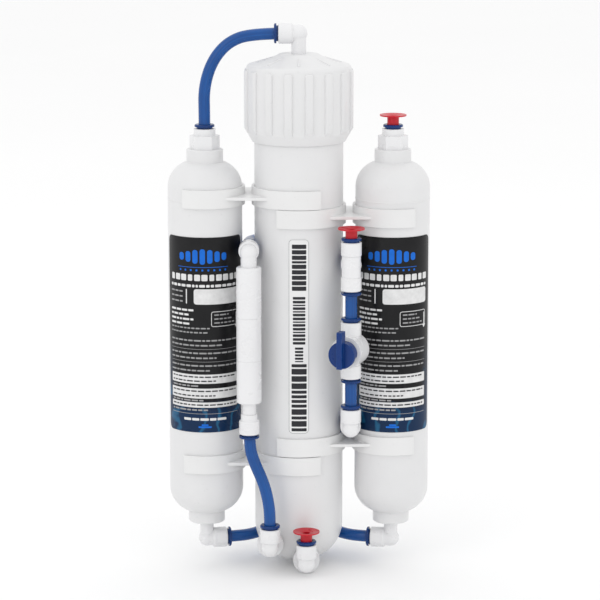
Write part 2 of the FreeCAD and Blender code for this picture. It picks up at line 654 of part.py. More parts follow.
def membrane_element():
    """The wound element, its core tube, its end caps, its brine seal and the core tube's O-rings."""
    low, high = cell("membrane_low"), cell("membrane_high")
    core, radius = cell("core_tube_radius"), cell("membrane_radius")
    cap = cell("end_cap_depth")
    node(lathe("membrane_element", ring(core, radius, low, high)), "membrane_element")
    tube_wall = ring(cell("core_tube_bore"), core, cell("core_tube_low"), cell("core_tube_high"))
    node(lathe("membrane_core_tube", tube_wall), "membrane_core_tube")
    ends = [lathe("End", ring(core, radius, start, start + cap)) for start in (low - cap, high)]
    group("membrane_end_caps", ends)
    seal_high = high + cap - 1
    seal_low = seal_high - cell("brine_seal_depth")
    lip = cell("barrel_bore") - 0.1
    outline = [(radius, seal_low), (radius + 1.4, seal_low), (lip, seal_high),
               (lip - 1.2, seal_high), (radius + 0.8, seal_low + 2), (radius, seal_low + 2)]
    node(lathe("brine_seal", outline), "brine_seal")
    section = cell("core_ring_section")
    bottom = cell("core_tube_low") + 3
    rings = [lathe("CoreRing", ring(core, cell("core_socket_radius") - 0.02, bottom + step,
                                    bottom + section + step)) for step in (0, 4)]
    group("core_o_rings", rings)


# ---- inline filters ---------------------------------------------------------------------------

def filter_shell(name, side):
    """The closed cup of an inline filter, with the threaded neck of its lower end."""
    radius, wall, dome = cell("filter_radius"), cell("filter_wall"), cell("filter_dome")
    low, neck, thread = cell("filter_low"), cell("filter_neck_radius"), cell("filter_thread")
    centre = radius - dome
    inner_dome = dome - wall
    outline = [
        (thread, cell("filter_neck_base")), (neck - 0.6, cell("filter_neck_base")),
        (neck, cell("filter_neck_base") + 0.6), (neck, low - drop_at(dome, neck - centre)),
        (radius, low, dome, 1), (radius, cell("filter_seam")), (radius - wall, cell("filter_seam")),
        (radius - wall, low), (thread, low - drop_at(inner_dome, centre - thread), inner_dome, -1),
    ]
    node(place(lathe(name, outline), filter_side(side)), name)


def filter_lid(name, side):
    """The domed lid welded on the cup, with a skirt inside it and the upper neck."""
    radius, wall, dome = cell("filter_radius"), cell("filter_wall"), cell("filter_dome")
    high, neck, thread = cell("filter_high"), cell("filter_neck_radius"), cell("filter_thread")
    seam, centre = cell("filter_seam"), cell("filter_radius") - cell("filter_dome")
    inner_dome = dome - wall
    skirt = radius - wall - 0.1
    skirt_bore = skirt - 2
    outline = [
        (thread, high + drop_at(inner_dome, centre - thread), inner_dome, 1),
        (thread, cell("filter_neck_top")),
        (neck - 0.6, cell("filter_neck_top")), (neck, cell("filter_neck_top") - 0.6),
        (neck, high + drop_at(dome, neck - centre)), (radius, high, dome, -1), (radius, seam),
        (skirt, seam), (skirt, seam - cell("lid_skirt")), (skirt_bore, seam - cell("lid_skirt")),
        (skirt_bore, high + drop_at(inner_dome, skirt_bore - centre)),
    ]
    node(place(lathe(name, outline), filter_side(side)), name)


def filter_contents():
    """What the filters hold: carbon between felt pads, and a sediment core between gaskets."""
    bore = cell("filter_radius") - cell("filter_wall") - 0.1
    low, high = cell("filter_low"), cell("filter_seam") - cell("lid_skirt") - 0.3
    depth = cell("pad_depth")
    left, right = filter_side(-1), filter_side(1)
    granules = ring(ZERO, bore, low + depth, high - depth)
    node(place(lathe("carbon_granules", granules), left), "carbon_granules")
    pads = [place(lathe("Pad", ring(ZERO, bore, start, start + depth)), left)
            for start in (low, high - depth)]
    group("carbon_felt_pads", pads)
    core, core_bore = cell("core_radius"), cell("core_bore")
    wound = ring(core_bore, core, low + depth, high - depth)
    node(place(lathe("sediment_core", wound), right), "sediment_core")
    gaskets = [place(lathe("Gasket", ring(core_bore, core, start, start + depth)), right)
               for start in (low, high - depth)]
    group("sediment_core_gaskets", gaskets)


def front_skin(name, radius, half_angle, x=ZERO):
    """A thin label bent round the front of a cylinder."""
    inner = radius + cell("skin_gap")
    outer = inner + cell("label_depth")
    side, front = sine(half_angle), cosine(half_angle)
    outline = [(-(inner * side), -(inner * front), inner, -1), (-(outer * side), -(outer * front)),
               (outer * side, -(outer * front), outer, 1), (inner * side, -(inner * front))]
    body = DOC.addObject("PartDesign::Body", name)
    pad(body, [outline], cell("label_high") - cell("label_low"), shift=cell("label_low"))
    node(place(body, x), name)


def labels():
    front_skin("carbon_label", cell("filter_radius"), cell("label_half_angle"), filter_side(-1))
    front_skin("fine_label", cell("filter_radius"), cell("label_half_angle"), filter_side(1))
    front_skin("housing_label", cell("barrel_radius"), cell("barrel_label_half_angle"))


# ---- clips ------------------------------------------------------------------------------------

def c_band(centre, inner, mouth, toward):
    """A C-shaped band round a cylinder; its mouth, of this half angle, looks along `toward` on X."""
    outer = inner + cell("clip_band")
    across, rise = cosine(mouth) * toward, sine(mouth)
    return [
        (centre + outer * across, outer * rise, outer, -toward),
        (centre + inner * across, inner * rise),
        (centre - inner * toward, ZERO, inner, toward),
        (centre + inner * across, -(inner * rise), inner, toward),
        (centre + outer * across, -(outer * rise)),
        (centre - outer * toward, ZERO, outer, -toward),
    ]


def clip_web(barrel_edge, sleeve_edge, side):
    """The flat web between the two bands, cut to both circles."""
    spacing, reach = cell("filter_spacing"), cell("clip_web_reach")
    far_reach = reach - 1.5
    near = drop_at(barrel_edge, reach) * side
    far = (spacing - drop_at(sleeve_edge, far_reach)) * side
    return [(near, -reach, barrel_edge, -side), (far, -far_reach),
            (far, far_reach, sleeve_edge, -side), (near, reach)]


def double_clip(name, side, height):
    """A double clip: one band round the housing, one round a filter and a flat web between them."""
    barrel = cell("barrel_radius") + cell("clip_gap")
    sleeve = cell("filter_radius") + cell("clip_gap")
    half_band = cell("clip_band") / 2
    body = DOC.addObject("PartDesign::Body", name)
    housing_band = c_band(ZERO, barrel, cell("clip_barrel_mouth"), -side)
    filter_band = c_band(filter_side(side), sleeve, cell("clip_filter_mouth"), side)
    web = clip_web(barrel + half_band, sleeve + half_band, side)
    pad(body, [web], cell("clip_web"), symmetric=True)
    for band in (housing_band, filter_band):
        pad(body, [band], cell("clip_depth"), symmetric=True)
    node(place(body, z=height), name)


def clips():
    double_clip("upper_left_clip", -1, cell("upper_left_clip"))
    double_clip("upper_right_clip", 1, cell("upper_right_clip"))
    double_clip("lower_left_clip", -1, cell("lower_left_clip"))
    double_clip("lower_right_clip", 1, cell("lower_right_clip"))


# ---- flow restrictor and flush valve ------------------------------------------------------------

def flow_restrictor():
    """The restrictor's white sleeve, with a stem bore at each end, and the insert it holds."""
    radius, bore = cell("restrictor_radius"), cell("restrictor_bore")
    top, base, end = cell("restrictor_top"), cell("restrictor_base"), cell("restrictor_end")
    upper_bore = cell("restrictor_neck") + cell("leg_gap")
    lower_bore = cell("leg_radius") + cell("leg_gap")
    low, high = cell("restrictor_groove_low"), cell("restrictor_groove_high")
    bottom = radius - cell("restrictor_groove")
    line = CENTRES["restrictor_top"][:2]
    sleeve = [
        (lower_bore, base), (radius - 0.8, base), (radius, base + 0.8),
        (radius, low - 0.4), (bottom, low), (radius, low + 0.4),
        (radius, high - 0.4), (bottom, high), (radius, high + 0.4),
        (radius, top - 0.8), (radius - 0.8, top), (upper_bore, top), (upper_bore, top - end),
        (bore, top - end), (bore, base + end), (lower_bore, base + end),
    ]
    insert = ring(as_size(1), bore - 0.1, base + end + 0.2, top - end - 0.2)
    node(place(lathe("restrictor_sleeve", sleeve), *line), "restrictor_sleeve")
    node(place(lathe("restrictor_insert", insert), *line), "restrictor_insert")


def flush_valve():
    """The flush valve: its body, the ball on its spindle and the lever handle outside."""
    centre = CENTRES["valve"]
    turn = FreeCAD.Rotation(UP, -SIZES["valve_yaw"])
    back, front = cell("valve_boss_back"), cell("valve_boss_front")
    spindle = cell("spindle_radius")
    solids = [port_arm("+Z", VALVE), port_arm("-Z", VALVE), cylinder(cell("valve_barrel"), -12, 24),
              cylinder(cell("valve_boss_radius"), -back, back + front, "-Y")]
    bores = [port_bore("+Z", VALVE), port_bore("-Z", VALVE), ball(cell("ball_radius") + cell("ball_gap")),
             cylinder(spindle + cell("ball_gap"), 0, front + 1, "-Y")]
    node(place(cut(fuse(*solids), *bores), *centre, turn=turn), "flush_valve_body")
    spindle_end = cell("disc_near") + 1.5
    stem = fuse(ball(cell("ball_radius")), cylinder(spindle, 0, spindle_end, "-Y"))
    node(place(cut(stem, cylinder(cell("water_bore"), -8, 16)), *centre, turn=turn), "valve_ball")
    valve_handle(centre, turn, spindle, spindle_end)


def block(left, width, near, depth, low, height):
    """A box in front of the valve: near and depth are measured towards -Y."""
    piece = DOC.addObject("Part::Box", "Block")
    for name, size in (("Length", width), ("Width", depth), ("Height", height)):
        piece.setExpression(name, as_size(size).formula)
    return place(piece, left, -(as_size(near) + depth), low)


def valve_handle(centre, turn, spindle, spindle_end):
    """The handle: a disc, a stop skirt over one quarter behind it, and a lever across it."""
    near, disc_near, disc_far = cell("skirt_near"), cell("disc_near"), cell("disc_far")
    skirt, width = cell("skirt_radius"), cell("lever_width")
    quarter = DOC.addObject("Part::Common", "Quarter")
    quarter.Base = cylinder(skirt, near, disc_near - near + 1, "-Y")
    quarter.Tool = block(-2, skirt + 3, near, disc_near - near + 1, as_size(-2), skirt + 3)
    low = -(cell("handle_radius") - 0.5)
    solids = [
        cylinder(cell("handle_radius"), disc_near, disc_far - disc_near, "-Y"),
        cylinder(spindle + 2.4, near, disc_near - near + 1, "-Y"), quarter,
        block(-(width / 2), width, disc_near, cell("lever_far") - disc_near, low,
              cell("lever_rise") - low),
    ]
    socket = cylinder(spindle + 0.02, near - 1, spindle_end - near + 1.1, "-Y")
    node(place(cut(fuse(*solids), socket), *centre, turn=turn), "valve_handle")


# ---- tubes ------------------------------------------------------------------------------------

# Routes of the bent tubes, from end to end. Each point is a corner that an arc rounds off.
ROUTES = {
    "top_tube": [(-2.7, 0, 180.4), (-30, 0, 180.4), (-46.5, 0, 175.2), (-57.8, 0, 162), (-63.3, 0, 144),
                 (-63, 0, 125), (-63, 0, 105.9)],
    "waste_tube": [(-33.2, -33, -74), (-33.2, -33, -93.5), (-30.2, -34.4, -103.5),
                   (-23.2, -38, -118.5), (-20, -39.7, -132), (-19.3, -40.2, -144),
                   (-19.3, -40.2, -159.7)],
    "link_tube": [(-60.341, 0.469, -166), (-40.349, 3.994, -166), (-30.2, 11.4, -166),
                  (-22.5, 24.1, -166.3), (-8.1, 32, -166.6), (8.1, 32, -166.6), (22.5, 24.1, -166.3),
                  (30.2, 11.4, -166), (40.349, 3.994, -166), (60.341, 0.469, -166)],
    "restrictor_tube": [(-33.2, -30.3, 38.3), (-33.2, -13, 38.3), (-34.5, 15.5, 38), (-21.2, 33, 36.4),
                        (0, 40, 33.7), (20.8, 33, 31), (32.9, 15.5, 29.4), (34.8, -13, 29.1),
                        (34.8, -30.3, 29.1)],
    "flush_tube": [(34.8, -28.7, -81.5), (34.8, -13, -81.5), (33, 13, -82.5), (29.5, 27, -86),
                   (22.5, 37.5, -93.5), (15, 42.7, -104.5), (12, 43.2, -117), (12, 43.2, -142.3)],
}


def rounded_path(points):
    """Straight runs joined by tangent arcs as large as the shorter run beside each corner allows."""
    edges, radii = [], []
    corners = [FreeCAD.Vector(*point) for point in points]
    last = corners[0]
    for before, corner, after in zip(corners, corners[1:], corners[2:]):
        inward = (before - corner).normalize()
        outward = (after - corner).normalize()
        turn = math.pi - inward.getAngle(outward)
        reach = 0.45 * min((before - corner).Length, (after - corner).Length)
        radius = reach / math.tan(turn / 2)
        start, end = corner + inward * reach, corner + outward * reach
        centre = corner + (inward + outward).normalize() * math.hypot(radius, reach)
        middle = centre + (corner - centre).normalize() * radius
        edges.append(Part.LineSegment(last, start).toShape())
        edges.append(Part.Arc(start, middle, end).toShape())
        radii.append(radius)
        last = end
    edges.append(Part.LineSegment(last, corners[-1]).toShape())
    return Part.Wire(edges), radii


def swept(path, start, direction, radius):
    section = Part.Wire([Part.Circle(start, direction, radius).toShape()])
    return path.makePipeShell([section], True, False)


def bent_tube(name, points):
    """A hollow tube along its route, checked against its section times its length."""
    path, radii = rounded_path(points)
    start = FreeCAD.Vector(*points[0])
    direction = FreeCAD.Vector(*points[1]) - start
    outer, inner = SIZES["tube_radius"], SIZES["tube_bore"]
    shape = swept(path, start, direction, outer).cut(swept(path, start, direction, inner))
    expected = math.pi * (outer ** 2 - inner ** 2) * path.Length
    print(f"{name}: {path.Length:.1f} mm long, arc radii {[round(radius, 1) for radius in radii]}, "
          f"volume {shape.Volume / expected:.4f} of section times length")
    piece = DOC.addObject("Part::Feature", name)
    piece.Shape = shape
    piece.Placement = FreeCAD.Placement()
    node(piece, name)


def tubes():
    for name, points in ROUTES.items():
        bent_tube(name, points)
    line = CENTRES["valve"][:2]
    seat = cell("seat_depth")
    spans = [(cell("valve_rise") + VALVE - seat, cell("tee_rise") - LONG + seat),
             (cell("flush_elbow_drop") + REACH - seat, cell("valve_rise") - VALVE + seat)]
    stubs = [place(lathe("Stub", ring(cell("tube_bore"), cell("tube_radius"), low, high)), *line)
             for low, high in spans]
    group("flush_line_tubes", stubs)


# ---- document checks and export ---------------------------------------------------------------

def finish():
    DOC.recompute()
    faults = [item.Name for item in DOC.Objects if {"Invalid", "Error"} & set(item.State)]
    if faults:
        raise RuntimeError(f"objects that failed to build: {faults}")
    for piece in NODES:
        if piece.Shape.isNull() or not piece.Shape.isValid():
            raise RuntimeError(f"{piece.Label} has no valid shape")
    os.makedirs("parts", exist_ok=True)
    for piece in NODES:
        piece.Shape.exportStep(f"parts/{piece.Label}.step")
        print(f"{piece.Label}: {len(piece.Shape.Solids)} solid(s), {piece.Shape.Volume:.0f} mm3")


push_in_fittings()
collets_and_rings()
closing_plugs()
membrane_housing()
housing_cap()
cap_seals()
membrane_element()
filter_shell("carbon_filter_shell", -1)
filter_shell("fine_filter_shell", 1)
filter_lid("carbon_filter_lid", -1)
filter_lid("fine_filter_lid", 1)
filter_contents()
labels()
clips()
flow_restrictor()
flush_valve()
tubes()
finish()
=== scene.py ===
# %% [markdown]
# # A reverse osmosis unit for an aquarium
# Three white plastic vessels stand side by side, joined by blue tube and push-in fittings. The
# solids were made in CAD. This lesson gives them their plastics and adds what the solids leave
# plain: bent tube, a soft-edged screw cap with its thread, printed labels and weld beads.

# %% Load the frame
import json
import math
import random

import bmesh
import bpy
from mathutils import Matrix, Vector


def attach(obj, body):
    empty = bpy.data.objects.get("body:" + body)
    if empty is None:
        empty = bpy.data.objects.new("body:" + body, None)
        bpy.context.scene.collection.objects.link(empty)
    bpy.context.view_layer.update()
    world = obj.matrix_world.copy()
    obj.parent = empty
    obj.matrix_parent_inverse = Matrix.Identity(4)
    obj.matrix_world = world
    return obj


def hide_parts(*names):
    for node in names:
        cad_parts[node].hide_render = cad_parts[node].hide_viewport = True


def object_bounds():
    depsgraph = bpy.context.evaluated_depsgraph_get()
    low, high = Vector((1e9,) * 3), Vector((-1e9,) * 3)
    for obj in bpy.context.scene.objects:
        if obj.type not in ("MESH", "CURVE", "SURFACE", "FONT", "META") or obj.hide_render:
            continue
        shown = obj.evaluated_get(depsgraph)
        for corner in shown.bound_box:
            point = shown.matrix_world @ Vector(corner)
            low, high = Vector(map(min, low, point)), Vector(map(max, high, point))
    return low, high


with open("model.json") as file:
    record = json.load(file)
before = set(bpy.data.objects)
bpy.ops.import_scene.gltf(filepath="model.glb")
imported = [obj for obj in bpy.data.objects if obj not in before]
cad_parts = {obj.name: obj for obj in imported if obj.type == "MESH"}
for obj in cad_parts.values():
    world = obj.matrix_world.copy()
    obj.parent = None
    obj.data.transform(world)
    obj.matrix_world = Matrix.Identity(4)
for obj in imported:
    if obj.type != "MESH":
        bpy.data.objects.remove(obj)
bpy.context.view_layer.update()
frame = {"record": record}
MM = 0.001

# %% [markdown]
# ## The camera
# A long lens from two metres away keeps the upright vessels nearly parallel. It could be aimed
# with a Track To constraint. A plain rotation is simpler, because nothing moves.

# %% Camera
AIM = Vector((0.0008, 0, 0))
DISTANCE = 1.96
ELEVATION = math.radians(11)
camera = bpy.data.objects.new("camera", bpy.data.cameras.new("camera"))
bpy.context.collection.objects.link(camera)
camera.location = AIM + DISTANCE * Vector((0, -math.cos(ELEVATION), math.sin(ELEVATION)))
camera.rotation_euler = (AIM - camera.location).to_track_quat("-Z", "Y").to_euler()
camera.data.lens = 174
camera.data.sensor_width = 36
camera.data.clip_end = 20
bpy.context.scene.camera = camera
print("camera at", [round(value, 3) for value in camera.location])

# %% [markdown]
# ## A moulded plastic
# Every hard piece is injection moulded. Real mouldings are never one flat colour: the tone drifts
# a little, the skin has a faint grain, and faint specks soil it. All of that could be painted on
# images. Here nodes make it, so it has no seams and no resolution. A Bevel node rounds the edges
# for the light, and where it turns the surface most a lighter edge colour is painted in as a highlight.

# %% Plastic material
def add_node(tree, kind, **settings):
    """A node with some of its properties or inputs set."""
    made = tree.nodes.new(kind)
    for name, value in settings.items():
        if hasattr(made, name):
            setattr(made, name, value)
        else:
            made.inputs[name.replace("_", " ")].default_value = value
    return made


def blend_colours(tree, factor, low, high):
    """Mix two colours, each either a socket or a plain RGB value."""
    mix = tree.nodes.new("ShaderNodeMix")
    mix.data_type = "RGBA"
    tree.links.new(factor, mix.inputs[0])
    for socket, value in ((mix.inputs[6], low), (mix.inputs[7], high)):
        if isinstance(value, bpy.types.NodeSocket):
            tree.links.new(value, socket)
        else:
            socket.default_value = (*value, 1)
    return mix.outputs[2]


def spread(tree, factor, low, high, start=0.0, end=1.0):
    """Map a 0 to 1 factor on to a range of values."""
    ranged = add_node(tree, "ShaderNodeMapRange", From_Min=start, From_Max=end, To_Min=low, To_Max=high)
    tree.links.new(factor, ranged.inputs["Value"])
    return ranged.outputs["Result"]


def noise(tree, place, scale, detail=3.0):
    """Soft noise at this scale, from 0 to 1."""
    texture = add_node(tree, "ShaderNodeTexNoise", Scale=scale, Detail=detail, Roughness=0.55)
    tree.links.new(place, texture.inputs["Vector"])
    return texture.outputs["Fac"]


def new_material(name):
    """A material with its shader, its tree and its Object coordinates."""
    material = bpy.data.materials.new(name)
    material.use_nodes = True
    tree = material.node_tree
    place = tree.nodes.new("ShaderNodeTexCoord").outputs["Object"]
    return material, tree, tree.nodes["Principled BSDF"], place


def edge_factor(tree, rounded):
    """How far the rounded normal leans away from the true one: 0 on flats and 1 on edges."""
    true = tree.nodes.new("ShaderNodeNewGeometry").outputs["Normal"]
    dot = add_node(tree, "ShaderNodeVectorMath", operation="DOT_PRODUCT")
    tree.links.new(rounded, dot.inputs[0])
    tree.links.new(true, dot.inputs[1])
    return spread(tree, dot.outputs["Value"], 1.0, 0.0, start=0.86, end=0.995)


def moulded(name, colour, painted_edge_colour, roughness=0.34, drift=0.03, edge=0.0004, specular=0.5):
    """A moulded plastic with drifting tone, specks and a fine grain. The edge colour is painted on its
    edges: a painted highlight when it is lighter than the body, painted shade when darker.
    """
    material, tree, shader, place = new_material(name)
    rounded = add_node(tree, "ShaderNodeBevel", samples=6, Radius=edge).outputs["Normal"]
    darker = [value * (1 - drift) for value in colour]
    tone = spread(tree, noise(tree, place, 22), 0, 1, start=0.35, end=0.65)
    body = blend_colours(tree, tone, darker, colour)
    specks = spread(tree, noise(tree, place, 420, detail=1), 0, 0.5, start=0.68, end=0.8)
    soiled = blend_colours(tree, specks, body, [value * 0.9 for value in colour])
    # Painted light on the edges: the edge colour is mixed in where the Bevel turns the normal, a painted
    # highlight when it is lighter than the body.
    painted_edge_mix = blend_colours(tree, edge_factor(tree, rounded), soiled, painted_edge_colour)
    tree.links.new(painted_edge_mix, shader.inputs["Base Color"])
    gloss = spread(tree, noise(tree, place, 60, detail=5), roughness - 0.06, roughness + 0.07,
                   start=0.3, end=0.7)
    tree.links.new(gloss, shader.inputs["Roughness"])
    bump = add_node(tree, "ShaderNodeBump", Strength=0.05, Distance=0.0001)
    tree.links.new(noise(tree, place, 1600, detail=2), bump.inputs["Height"])
    tree.links.new(rounded, bump.inputs["Normal"])
    tree.links.new(bump.outputs["Normal"], shader.inputs["Normal"])
    shader.inputs["Specular IOR Level"].default_value = specular
    return material


# The second colour of each plastic is its edge colour. It is lighter than the body, so it paints a
# highlight on the edges.
WHITE = (0.76, 0.76, 0.765)
MATERIALS = {
    "white_housing": moulded("housing_white", WHITE, (0.84, 0.84, 0.84)),
    "white_filter": moulded("filter_white", (0.755, 0.755, 0.76), (0.83, 0.83, 0.83), roughness=0.36),
    "white_clip": moulded("clip_white", (0.79, 0.79, 0.79), (0.87, 0.87, 0.87), roughness=0.38),
    "white_fitting": moulded("acetal_white", (0.80, 0.80, 0.81), (0.88, 0.88, 0.88), roughness=0.28,
                             edge=0.0003),
    "blue_collet": moulded("collet_blue", (0.003, 0.035, 0.17), (0.03, 0.13, 0.36), roughness=0.22,
                           drift=0.15, edge=0.0002, specular=0.3),
    "red_plug": moulded("plug_red", (0.58, 0.006, 0.02), (0.72, 0.08, 0.1), roughness=0.3, drift=0.1,
                        edge=0.0002, specular=0.4),
    "blue_handle": moulded("handle_blue", (0.002, 0.035, 0.19), (0.02, 0.12, 0.38), roughness=0.3,
                           drift=0.12, edge=0.0003, specular=0.3),
    "seal_rubber": moulded("seal_black", (0.02, 0.02, 0.02), (0.05, 0.05, 0.05), roughness=0.6),
    "valve_ball": moulded("ball_white", (0.78, 0.78, 0.76), (0.85, 0.85, 0.83), roughness=0.2),
    "core_plastic": moulded("core_white", (0.75, 0.75, 0.72), (0.85, 0.85, 0.82), roughness=0.5),
    "gasket": moulded("gasket_grey", (0.08, 0.08, 0.08), (0.14, 0.14, 0.14), roughness=0.7),
}
print(len(MATERIALS), "moulded plastics")

# %% [markdown]
# ## Blue tube
# Drawn polyethylene tube is slightly clear, so it has a glossier skin than the mouldings and fine
# streaks along its length from the die. The streaks come from noise on the tube's own UV map,
# stretched along the run, so that they follow every bend.

# %% Tube material
def drawn_tube(name, mapped):
    """Blue tube, with die streaks that follow the UV map, or the Z axis on a straight stub."""
    material, tree, shader, place = new_material(name)
    along = tree.nodes.new("ShaderNodeTexCoord").outputs["UV"] if mapped else place
    stretch = add_node(tree, "ShaderNodeMapping", Scale=(0.6, 26, 1) if mapped else (900, 900, 6))
    tree.links.new(along, stretch.inputs["Vector"])
    streaks = spread(tree, noise(tree, stretch.outputs["Vector"], 1.0), 0, 1, start=0.35, end=0.65)
    blotches = spread(tree, noise(tree, place, 45), 0, 0.6, start=0.35, end=0.7)
    streaked = blend_colours(tree, streaks, (0.0015, 0.058, 0.25), (0.0025, 0.09, 0.35))
    tree.links.new(blend_colours(tree, blotches, streaked, (0.002, 0.052, 0.22)),
                   shader.inputs["Base Color"])
    tree.links.new(spread(tree, streaks, 0.14, 0.22), shader.inputs["Roughness"])
    bump = add_node(tree, "ShaderNodeBump", Strength=0.12, Distance=0.0001)
    tree.links.new(streaks, bump.inputs["Height"])
    tree.links.new(bump.outputs["Normal"], shader.inputs["Normal"])
    shader.inputs["Specular IOR Level"].default_value = 0.4
    return material


TUBE = drawn_tube("tube_blue", True)
MATERIALS["blue_tube"] = drawn_tube("stub_blue", False)

# %% [markdown]
# ## What is inside
# The filter charges and the membrane are out of sight until a vessel is opened. They still get a
# finish each: black granules, white felt, wound fibre, and the wrap tape of the membrane.

# %% Filling materials
def grainy(name, low, high, cells, roughness, depth):
    """A material of packed grains or fibres: cell noise for colour and for height."""
    material, tree, shader, place = new_material(name)
    texture = add_node(tree, "ShaderNodeTexVoronoi", Scale=cells)
    tree.links.new(place, texture.inputs["Vector"])
    tree.links.new(blend_colours(tree, texture.outputs["Distance"], low, high),
                   shader.inputs["Base Color"])
    bump = add_node(tree, "ShaderNodeBump", Strength=0.8, Distance=depth, invert=True)
    tree.links.new(texture.outputs["Distance"], bump.inputs["Height"])
    tree.links.new(bump.outputs["Normal"], shader.inputs["Normal"])
    tree.links.new(spread(tree, noise(tree, place, 300), roughness - 0.1, roughness + 0.1),
                   shader.inputs["Roughness"])
    return material


def wound(name, low, high, pitch, roughness):
    """A wound material: fine slanting turns round the Z axis."""
    material, tree, shader, place = new_material(name)
    bands = add_node(tree, "ShaderNodeTexWave", bands_direction="Z", Scale=pitch, Distortion=1.5)
    tree.links.new(place, bands.inputs["Vector"])
    tree.links.new(blend_colours(tree, bands.outputs["Fac"], low, high), shader.inputs["Base Color"])
    bump = add_node(tree, "ShaderNodeBump", Strength=0.5, Distance=0.0003)
    tree.links.new(bands.outputs["Fac"], bump.inputs["Height"])
    tree.links.new(bump.outputs["Normal"], shader.inputs["Normal"])
    shader.inputs["Roughness"].default_value = roughness
    return material


MATERIALS["carbon_black"] = grainy("carbon_granules", (0.004, 0.004, 0.004), (0.05, 0.05, 0.05),
                                   700, 0.55, 0.0006)
MATERIALS["felt"] = grainy("pad_felt", (0.6, 0.6, 0.57), (0.8, 0.8, 0.78), 1800, 0.9, 0.0002)
MATERIALS["wound_fibre"] = wound("core_fibre", (0.68, 0.68, 0.65), (0.84, 0.84, 0.82), 90, 0.85)
MATERIALS["membrane_wrap"] = wound("wrap_tape", (0.55, 0.56, 0.5), (0.7, 0.71, 0.66), 12, 0.4)

# %% [markdown]
# ## Dress the CAD pieces
# A CAD piece whose shape is right keeps its mesh and takes its finish from the slot that the
# record names for it.

# %% Assign materials
SLOT_OF = {entry["node"]: entry["material_slot"] for entry in frame["record"]["subparts"]}
for node, slot in SLOT_OF.items():
    finish = MATERIALS.get(slot, MATERIALS["white_housing"])
    for material_slot in bpy.data.objects[node].material_slots:
        material_slot.material = finish
print("dressed", len(SLOT_OF), "CAD pieces")

# %% [markdown]
# ## Bent tubes
# Five lengths of stiff 8 mm tube run from one push-in fitting to the next. A mesh tube could be
# swept along a path, but a NURBS curve with a round bevel stays smooth from a handful of control
# points. The order and the end points are set last, once the points are there.

# %% Tube routes
ROUTES = {
    "top_tube": [(-0.0027, 0, 0.1804), (-0.030, 0, 0.1804), (-0.0465, 0, 0.1752),
                 (-0.0578, 0, 0.162), (-0.0633, 0, 0.144), (-0.063, 0, 0.125), (-0.063, 0, 0.1059)],
    "waste_tube": [(-0.0332, -0.033, -0.074), (-0.0332, -0.033, -0.0935),
                   (-0.0302, -0.0344, -0.1035), (-0.0232, -0.038, -0.1185),
                   (-0.020, -0.0397, -0.132), (-0.0193, -0.0402, -0.144),
                   (-0.0193, -0.0402, -0.1597)],
    "link_tube": [(-0.060341, 0.000469, -0.166), (-0.040349, 0.003994, -0.166),
                  (-0.0302, 0.0114, -0.166), (-0.0225, 0.0241, -0.1663), (-0.0081, 0.032, -0.1666),
                  (0.0081, 0.032, -0.1666), (0.0225, 0.0241, -0.1663), (0.0302, 0.0114, -0.166),
                  (0.040349, 0.003994, -0.166), (0.060341, 0.000469, -0.166)],
    "restrictor_tube": [(-0.0332, -0.0303, 0.0383), (-0.0332, -0.013, 0.0383),
                        (-0.0345, 0.0155, 0.038), (-0.0212, 0.033, 0.0364), (0, 0.040, 0.0337),
                        (0.0208, 0.033, 0.031), (0.0329, 0.0155, 0.0294), (0.0348, -0.013, 0.0291),
                        (0.0348, -0.0303, 0.0291)],
    "flush_tube": [(0.0348, -0.0287, -0.0815), (0.0348, -0.013, -0.0815), (0.033, 0.013, -0.0825),
                   (0.0295, 0.027, -0.086), (0.0225, 0.0375, -0.0935), (0.015, 0.0427, -0.1045),
                   (0.012, 0.0432, -0.117), (0.012, 0.0432, -0.1423)],
}
TUBE_DIAMETER = 0.00794


# %% Make the tubes
def bent_tube(name, route, body):
    """One length of tube on its route, in place of the CAD tube of that name."""
    curve = bpy.data.curves.new(f"{name}_bent", "CURVE")
    curve.dimensions = "3D"
    spline = curve.splines.new("NURBS")
    spline.points.add(len(route) - 1)
    for point, place in zip(spline.points, route):
        point.co = (*place, 1)
    spline.order_u = 3
    spline.use_endpoint_u = True
    spline.resolution_u = 14
    curve.bevel_depth = TUBE_DIAMETER / 2
    curve.bevel_resolution = 7
    curve.use_fill_caps = True
    curve.materials.append(TUBE)
    tube = bpy.data.objects.new(f"{name}_bent", curve)
    bpy.context.collection.objects.link(tube)
    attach(tube, body)
    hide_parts(name)
    return tube


for name, route in ROUTES.items():
    bent_tube(name, route, "cap_lifter" if name == "top_tube" else "frame")
    print(name, len(route), "points")


# %% [markdown]
# ## Turned and swept pieces
# Round pieces start as a profile in the XZ plane that the spin operator turns about the Z axis.
# With a lift on every step the same operator winds a screw thread.

# %% Helpers for spun pieces
def profile(mesh, corners):
    """A closed chain of edges through (radius, height) corners given in millimetres."""
    verts = [mesh.verts.new((radius * MM, 0, height * MM)) for radius, height in corners]
    edges = [mesh.edges.new(pair) for pair in zip(verts, verts[1:] + verts[:1])]
    return verts + edges


def spin_round(mesh, corners, steps=96):
    """Turn a closed profile fully round the Z axis."""
    bmesh.ops.spin(mesh, geom=profile(mesh, corners), cent=(0, 0, 0), axis=(0, 0, 1),
                   angle=math.tau, steps=steps, use_merge=True)
    bmesh.ops.remove_doubles(mesh, verts=mesh.verts, dist=1e-7)
    bmesh.ops.recalc_face_normals(mesh, faces=mesh.faces)


def join_into(mesh, part):
    """Add a part's geometry to another bmesh and free the part."""
    spare = bpy.data.meshes.new("spare")
    part.to_mesh(spare)
    part.free()
    mesh.from_mesh(spare)
    bpy.data.meshes.remove(spare)


SHARP_EDGE = math.radians(35)


